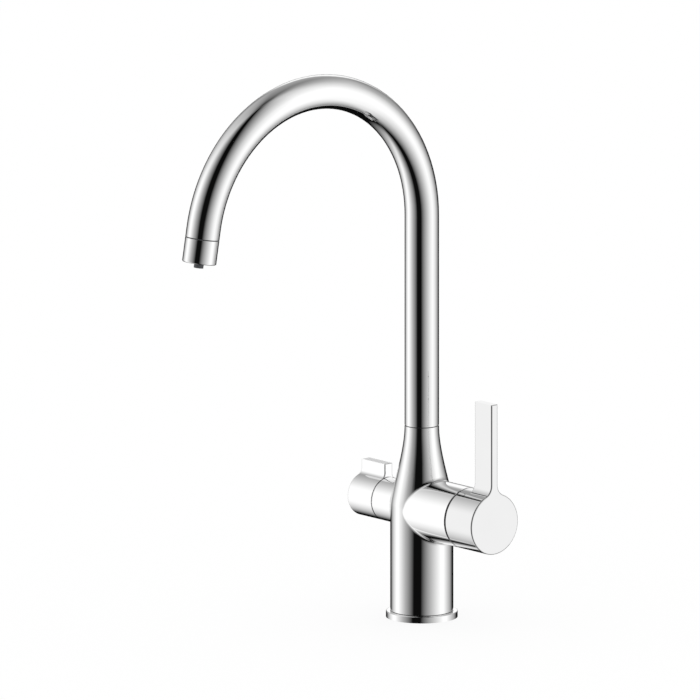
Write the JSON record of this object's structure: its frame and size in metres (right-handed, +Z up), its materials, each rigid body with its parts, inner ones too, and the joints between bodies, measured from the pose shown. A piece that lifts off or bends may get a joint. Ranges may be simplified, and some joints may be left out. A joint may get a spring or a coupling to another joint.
{
  "type": "three way kitchen tap",
  "caption": "Chrome swan-neck kitchen tap with a single lever mixer on one side, a quarter turn filtered water tab on the other and a swivelling dual-flow spout.",
  "frame": {"origin": "centre of the foot on the worktop, at the mouth of the fixing stud hole", "axes": "+Z up along the column, +X along the mixer barrel, -Y the way the spout points at rest"},
  "size_m": [0.1404, 0.2403, 0.3981],
  "materials": {
    "chrome_plated_brass": "polished",
    "brass": "satin",
    "nitrile_rubber": "matte",
    "alumina": "satin",
    "acetal_white": "satin",
    "acetal_black": "satin",
    "grey_plastic": "satin",
    "stainless_steel": "satin"
  },
  "bodies": {
    "body": {"tap_body": "chrome_plated_brass", "base_ring": "chrome_plated_brass", "base_seal": "nitrile_rubber", "riser_o_ring": "nitrile_rubber", "mixer_cartridge_housing": "acetal_white", "mixer_port_seals": "nitrile_rubber", "mixer_disc_fixed": "alumina", "mixer_stem_o_ring": "nitrile_rubber", "mixer_retaining_nut": "brass", "mixer_trim_ring": "acetal_black", "filter_valve_housing": "brass", "filter_seat_washer": "nitrile_rubber", "filter_disc_fixed": "alumina", "filter_spindle_o_ring": "nitrile_rubber", "filter_trim_ring": "chrome_plated_brass", "spout_bearing_ring": "acetal_black"},
    "mixer_handle": {"mixer_lever": "chrome_plated_brass", "mixer_stem": "brass", "mixer_disc_moving": "alumina", "mixer_grub_screw": "stainless_steel"},
    "filter_handle": {"filter_lever": "chrome_plated_brass", "filter_spindle": "brass", "filter_disc_moving": "alumina", "filter_grub_screw": "stainless_steel"},
    "spout": {"spout_tube": "chrome_plated_brass", "spout_insert": "brass", "spout_o_rings": "nitrile_rubber", "spout_retaining_ring": "acetal_white", "filter_water_tube": "acetal_white", "outlet_collar": "chrome_plated_brass", "aerator_seal": "nitrile_rubber", "aerator_insert": "grey_plastic", "filter_nozzle": "grey_plastic"}
  },
  "joints": [
    {"name": "mixer_lever_turn", "type": "hinge", "parent": "body", "child": "mixer_handle", "pos_m": [0.065, 0, 0.0778], "axis": [1, 0, 0], "range_deg": [0, 100]},
    {"name": "filter_lever_turn", "type": "hinge", "parent": "body", "child": "filter_handle", "pos_m": [-0.049, 0, 0.0778], "axis": [1, 0, 0], "range_deg": [0, 90]},
    {"name": "spout_swivel", "type": "hinge", "parent": "body", "child": "spout", "pos_m": [0, 0, 0.1363], "axis": [0, 0, 1], "continuous": true}
  ]
}
